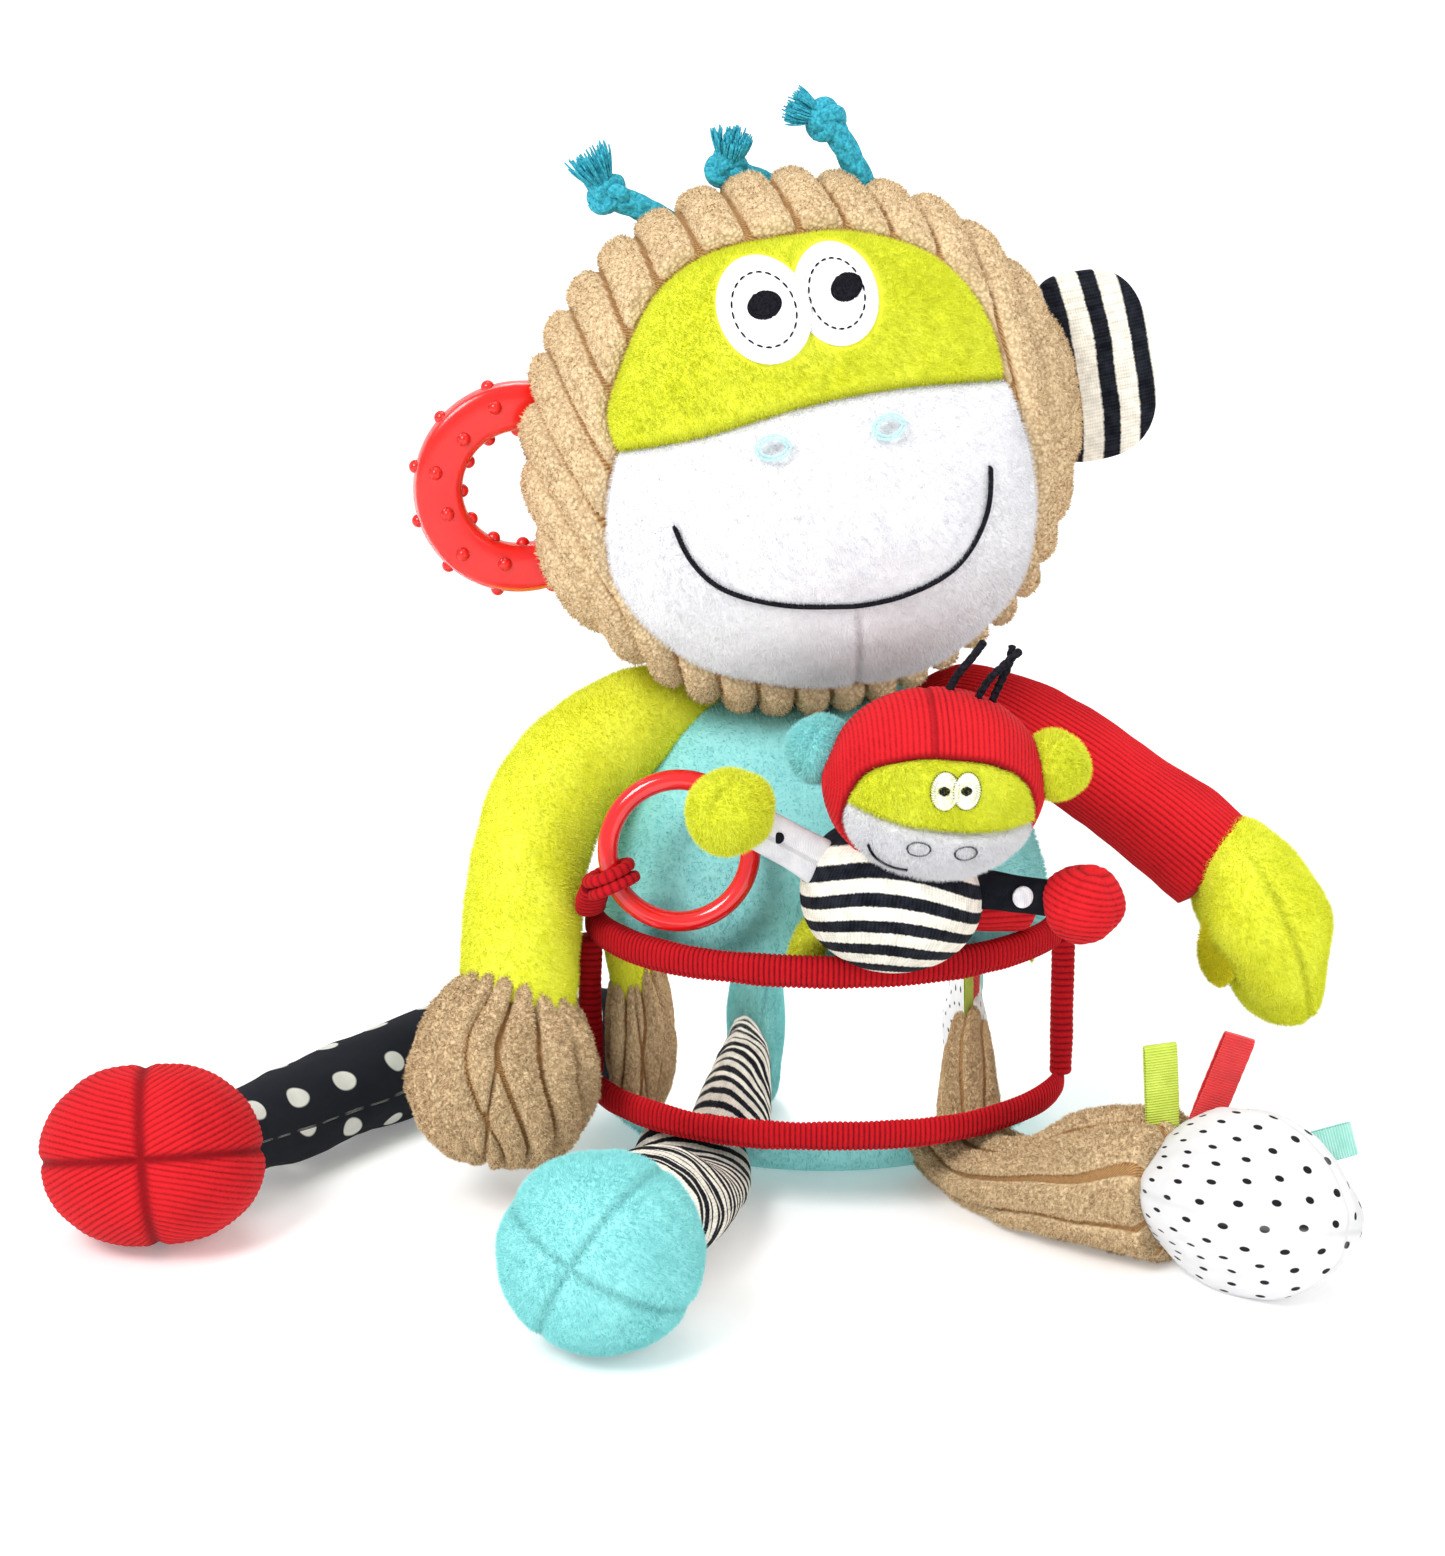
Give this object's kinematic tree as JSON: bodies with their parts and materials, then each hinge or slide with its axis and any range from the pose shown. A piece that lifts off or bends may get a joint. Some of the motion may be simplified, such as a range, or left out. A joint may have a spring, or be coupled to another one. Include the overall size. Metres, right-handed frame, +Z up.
{
  "type": "soft activity monkey",
  "caption": "Seated stuffed monkey for a baby: mirror-fronted belly pocket with a small rattle monkey in it, teething-ring ear, crackle ear, pull ring, ribbon tags, limbs and tail.",
  "frame": {"origin": "middle of the flat underside of the belly, on the floor", "axes": "+Z up, -Y the way the monkey faces, +X towards its own left hand, the longest way across from tail tip to spotted foot"},
  "size_m": [0.3898, 0.2892, 0.3319],
  "materials": {
    "aqua_plush": "short soft pile",
    "tan_chunky_cord": "wide terry wales on a brown ground",
    "lime_plush": "short soft pile",
    "white_plush": "short soft pile",
    "red_corduroy": "fine rib",
    "striped_knit": "black and cream stripes",
    "black_spotted_cloth": "white spots, smooth weave",
    "white_spotted_cloth": "small black spots, smooth weave",
    "teal_cord": "braided",
    "green_ribbon": "grosgrain",
    "red_ribbon": "grosgrain",
    "mint_ribbon": "grosgrain",
    "mirror_film": "flexible silvered sheet",
    "lime_hook_tape": "hook-and-loop tape",
    "glossy_red_plastic": "glossy",
    "red_silicone": "translucent, moulded",
    "polyester_fill": "loose fibre, packed",
    "inner_plastic": "plain",
    "inner_cloth": "plain weave"
  },
  "bodies": {
    "torso": {"torso_shell": "aqua_plush", "torso_stuffing": "polyester_fill", "pellet_bag": "inner_cloth", "neck_plug": "polyester_fill", "mirror_sheet": "mirror_film", "mirror_backing": "inner_cloth", "pocket_binding_top": "red_corduroy", "pocket_binding_bottom": "red_corduroy", "pocket_binding_right": "red_corduroy", "pocket_binding_left": "red_corduroy", "pull_ring_strap": "red_corduroy"},
    "pull_ring": {"pull_ring": "glossy_red_plastic"},
    "head": {"head_back_panel": "tan_chunky_cord", "brow_panel": "lime_plush", "muzzle_panel": "white_plush", "eye_patch_right": "white_plush", "eye_patch_left": "white_plush", "head_stuffing": "polyester_fill", "ear_ring_tab": "tan_chunky_cord", "hair_cord_right": "teal_cord", "hair_cord_middle": "teal_cord", "hair_cord_left": "teal_cord"},
    "teething_ring": {"teething_ring": "red_silicone"},
    "crackle_ear": {"crackle_ear_cover": "striped_knit", "crackle_film": "inner_plastic"},
    "right_arm": {"right_sleeve": "lime_plush", "right_hand": "tan_chunky_cord", "right_arm_stuffing": "polyester_fill"},
    "left_arm": {"left_sleeve": "red_corduroy", "left_hand": "lime_plush", "left_arm_stuffing": "polyester_fill", "left_palm_patch": "lime_hook_tape"},
    "right_leg": {"right_leg_sleeve": "striped_knit", "right_foot": "aqua_plush", "right_leg_stuffing": "polyester_fill", "foot_squeaker": "inner_plastic"},
    "left_leg": {"left_leg_sleeve": "tan_chunky_cord", "left_foot": "white_spotted_cloth", "left_leg_stuffing": "polyester_fill", "ribbon_tag_green": "green_ribbon", "ribbon_tag_red": "red_ribbon", "ribbon_tag_mint": "mint_ribbon"},
    "tail": {"tail_sleeve": "black_spotted_cloth", "tail_tip": "red_corduroy", "tail_stuffing": "polyester_fill", "tail_bell": "inner_plastic"},
    "baby": {"baby_head_cap": "red_corduroy", "baby_brow_panel": "lime_plush", "baby_muzzle_panel": "white_plush", "baby_ear_right": "aqua_plush", "baby_ear_left": "lime_plush", "baby_body": "striped_knit", "baby_rattle": "inner_plastic", "baby_right_leg": "lime_plush", "baby_left_leg": "red_corduroy"},
    "baby_right_arm": {"baby_right_arm": "white_spotted_cloth", "baby_right_hand": "lime_plush"},
    "baby_left_arm": {"baby_left_arm": "black_spotted_cloth", "baby_left_hand": "red_corduroy"}
  },
  "joints": [
    {"name": "neck_turn", "type": "hinge", "parent": "torso", "child": "head", "pos_m": [-0.008, -0.006, 0.15], "axis": [0, 0, 1], "range_deg": [-20, 20], "stiffness_Nm_per_rad": 0.12},
    {"name": "teething_ring_spin", "type": "hinge", "parent": "head", "child": "teething_ring", "pos_m": [-0.09313, -0.01525, 0.21469], "axis": [-0.1564, 0.9877, 0], "continuous": true},
    {"name": "crackle_ear_fold", "type": "hinge", "parent": "head", "child": "crackle_ear", "pos_m": [0.07124, 0.00977, 0.24503], "axis": [-0.1715, -0.0272, 0.9848], "range_deg": [-20, 20], "stiffness_Nm_per_rad": 0.01},
    {"name": "right_shoulder", "type": "hinge", "parent": "torso", "child": "right_arm", "pos_m": [-0.057, -0.006, 0.138], "axis": [-0.7807, -0.3904, -0.488], "range_deg": [0, 55]},
    {"name": "left_shoulder", "type": "hinge", "parent": "torso", "child": "left_arm", "pos_m": [0.058, -0.006, 0.139], "axis": [0.8987, -0.337, -0.2808], "range_deg": [-50, 30]},
    {"name": "right_hip", "type": "hinge", "parent": "torso", "child": "right_leg", "pos_m": [-0.042, -0.04, 0.0146], "axis": [0, 0, 1], "range_deg": [-6, 12]},
    {"name": "left_hip", "type": "hinge", "parent": "torso", "child": "left_leg", "pos_m": [0.04, -0.038, 0.0156], "axis": [0, 0, 1], "range_deg": [-12, 8]},
    {"name": "tail_root", "type": "hinge", "parent": "torso", "child": "tail", "pos_m": [0, 0.058, 0.019], "axis": [0, 0, 1], "range_deg": [-40, 2]},
    {"name": "pull_ring_swing", "type": "hinge", "parent": "torso", "child": "pull_ring", "pos_m": [-0.0647, -0.0581, 0.10429], "axis": [0.3907, -0.1756, -0.9036], "range_deg": [0, 60]},
    {"name": "baby_pull_out", "type": "slide", "parent": "torso", "child": "baby", "axis": [0, -0.33, 0.944], "range_m": [0, 0.15]},
    {"name": "baby_right_shoulder", "type": "hinge", "parent": "baby", "child": "baby_right_arm", "pos_m": [-0.0045, -0.0875, 0.1195], "axis": [0, 1, 0], "range_deg": [-20, 20], "stiffness_Nm_per_rad": 0.004},
    {"name": "baby_left_shoulder", "type": "hinge", "parent": "baby", "child": "baby_left_arm", "pos_m": [0.044, -0.085, 0.1108], "axis": [0, 1, 0], "range_deg": [-20, 6], "stiffness_Nm_per_rad": 0.004}
  ]
}
